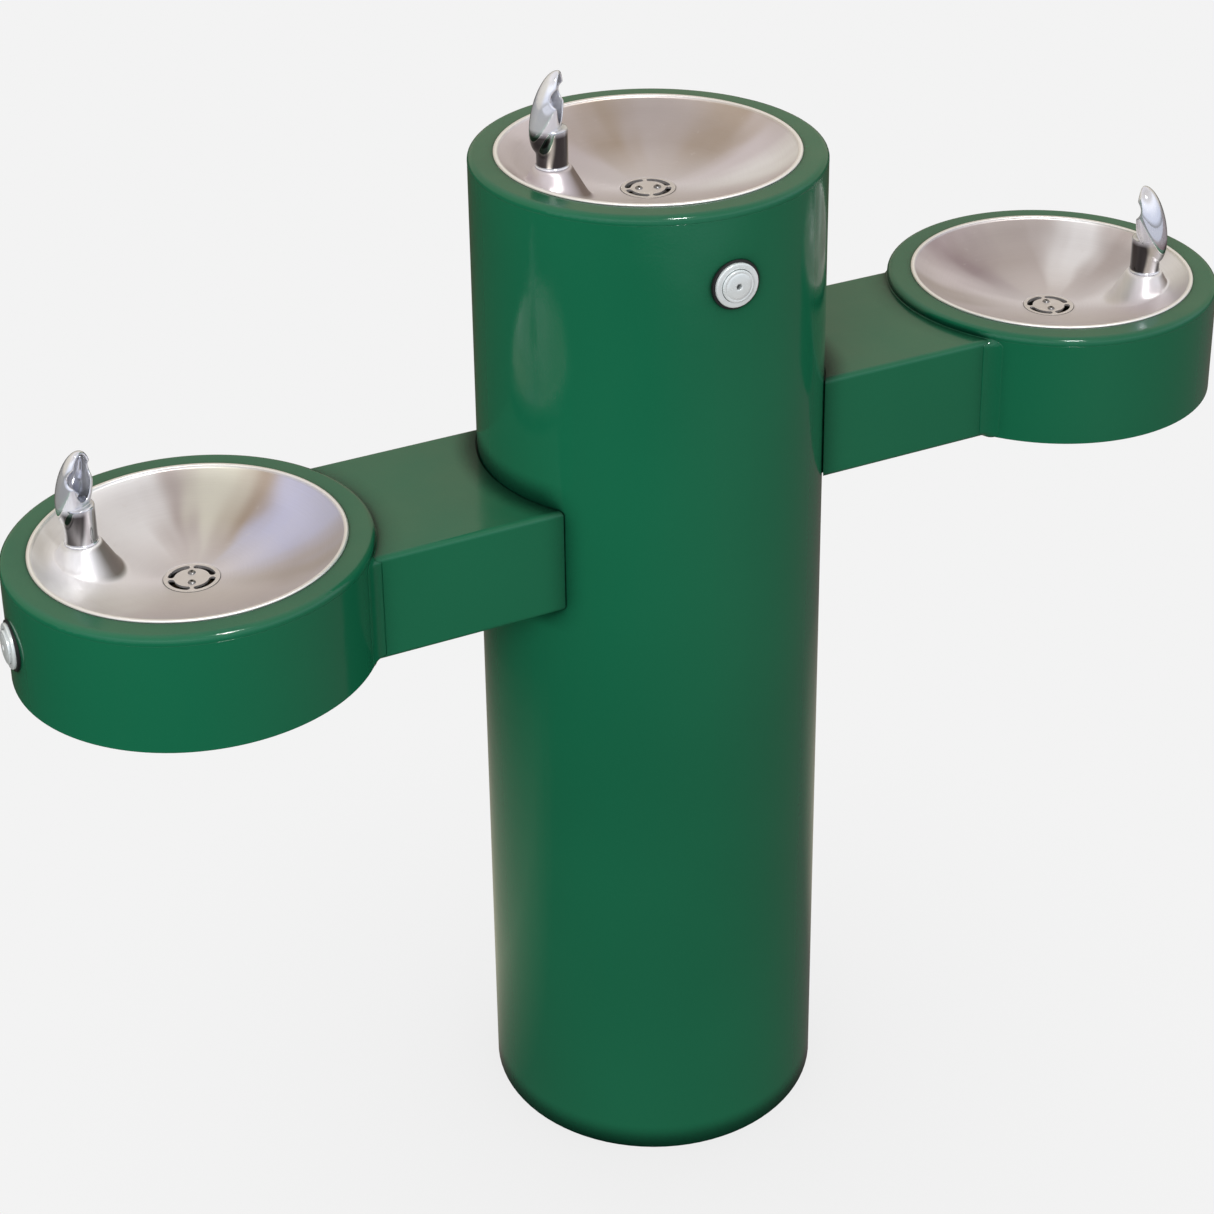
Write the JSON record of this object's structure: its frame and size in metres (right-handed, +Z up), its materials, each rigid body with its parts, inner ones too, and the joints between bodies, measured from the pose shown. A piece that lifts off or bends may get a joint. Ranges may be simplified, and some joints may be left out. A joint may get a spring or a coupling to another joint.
{
  "type": "pedestal drinking fountain",
  "caption": "Outdoor drinking fountain: a round column with a bowl on top and lower bowls on box arms either side, each with a hooded bubbler and push button.",
  "frame": {"origin": "centre of the column on the ground", "axes": "+Z up; -Y is the front, where the column's push button is; the arms lie along X, the lower one to -X"},
  "size_m": [1.2382, 0.331, 1.0849],
  "materials": {
    "green_coat": "gloss powder coat",
    "steel_bowl": "satin brushed",
    "steel_strainer": "satin",
    "chrome": "polished",
    "steel_fastener": "zinc plated",
    "primed_steel": "grey primer",
    "brass": "machined",
    "rubber": "matt",
    "spring_steel": "drawn wire",
    "copper_tube": "drawn tube",
    "drain_pipe": "moulded",
    "lever_grip": "dipped"
  },
  "bodies": {
    "fountain": {"pedestal_tube": "green_coat", "access_door": "green_coat", "pedestal_top_ring": "green_coat", "left_arm": "green_coat", "right_arm": "green_coat", "left_shell": "green_coat", "right_shell": "green_coat", "left_top_ring": "green_coat", "right_top_ring": "green_coat", "left_bottom_cover": "green_coat", "right_bottom_cover": "green_coat", "base_flange": "primed_steel", "door_frame": "primed_steel", "door_screws": "steel_fastener", "cover_screws": "steel_fastener", "arm_bolts": "steel_fastener", "strainer_screws": "steel_fastener", "bubbler_lock_nuts": "steel_fastener", "center_bowl": "steel_bowl", "center_strainer": "steel_strainer", "center_drain_body": "brass", "center_bubbler": "chrome", "center_bezel": "chrome", "center_spring": "spring_steel", "center_valve_body": "brass", "left_bowl": "steel_bowl", "left_strainer": "steel_strainer", "left_drain_body": "brass", "left_bubbler": "chrome", "left_bezel": "chrome", "left_spring": "spring_steel", "left_valve_body": "brass", "right_bowl": "steel_bowl", "right_strainer": "steel_strainer", "right_drain_body": "brass", "right_bubbler": "chrome", "right_bezel": "chrome", "right_spring": "spring_steel", "right_valve_body": "brass", "bubbler_nozzles": "chrome", "bubbler_coupling_nuts": "brass", "button_gaskets": "rubber", "button_lock_nuts": "brass", "bubbler_tubes": "copper_tube", "supply_tubes": "copper_tube", "supply_riser": "copper_tube", "drain_branches": "drain_pipe", "drain_stack": "drain_pipe", "drain_trap": "drain_pipe", "stop_valve_body": "brass", "inline_strainer": "brass", "supply_manifold": "brass"},
    "center_push": {"center_button": "chrome", "center_plunger": "brass"},
    "left_push": {"left_button": "chrome", "left_plunger": "brass"},
    "right_push": {"right_button": "chrome", "right_plunger": "brass"},
    "stop_lever": {"stop_valve_lever": "lever_grip"}
  },
  "joints": [
    {"name": "center_button_slide", "type": "slide", "parent": "fountain", "child": "center_push", "axis": [0, 1, 0], "range_m": [0, 0.005], "stiffness_N_per_m": 500, "springref_m": -0.008, "deforming": ["center_spring"]},
    {"name": "left_button_slide", "type": "slide", "parent": "fountain", "child": "left_push", "axis": [1, 0, 0], "range_m": [0, 0.005], "stiffness_N_per_m": 500, "springref_m": -0.008, "deforming": ["left_spring"]},
    {"name": "right_button_slide", "type": "slide", "parent": "fountain", "child": "right_push", "axis": [-1, 0, 0], "range_m": [0, 0.005], "stiffness_N_per_m": 500, "springref_m": -0.008, "deforming": ["right_spring"]},
    {"name": "stop_lever_hinge", "type": "hinge", "parent": "fountain", "child": "stop_lever", "pos_m": [0, 0.08, 0.2425], "axis": [0, 1, 0], "range_deg": [0, 90]}
  ]
}
